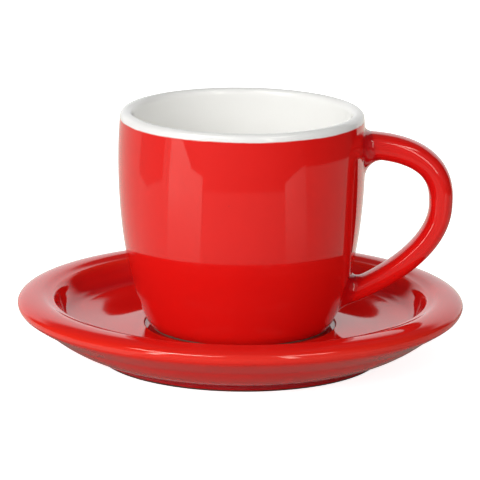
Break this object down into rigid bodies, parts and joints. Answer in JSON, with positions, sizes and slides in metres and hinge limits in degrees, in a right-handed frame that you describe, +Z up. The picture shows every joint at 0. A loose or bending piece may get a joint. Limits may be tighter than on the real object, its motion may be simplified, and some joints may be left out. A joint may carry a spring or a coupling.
{
  "type": "espresso cup with saucer",
  "caption": "Round-bellied glazed stoneware espresso cup with a loop handle, standing in the seat of a wide-rimmed footed saucer; the cup lifts off.",
  "frame": {"origin": "centre of the saucer's foot ring on the plane that it stands on", "axes": "+Z up along the axis of the cup and the saucer, +X towards the cup's handle, +Y away from the viewer"},
  "size_m": [0.114, 0.114, 0.0638],
  "materials": {
    "stoneware": "bare fired clay, fine grained and matt",
    "red_glaze": "bright red glaze, high gloss",
    "white_glaze": "warm white glaze, high gloss"
  },
  "bodies": {
    "saucer": {"saucer_body": "stoneware", "saucer_glaze": "red_glaze", "saucer_base_glaze": "red_glaze"},
    "cup": {"cup_body": "stoneware", "cup_liner_glaze": "white_glaze", "cup_outside_glaze": "red_glaze", "cup_base_glaze": "red_glaze", "handle": "stoneware", "handle_glaze": "red_glaze"}
  },
  "joints": [
    {"name": "cup_lift", "type": "slide", "parent": "saucer", "child": "cup", "axis": [0, 0, 1], "range_m": [0, 0.1]}
  ]
}
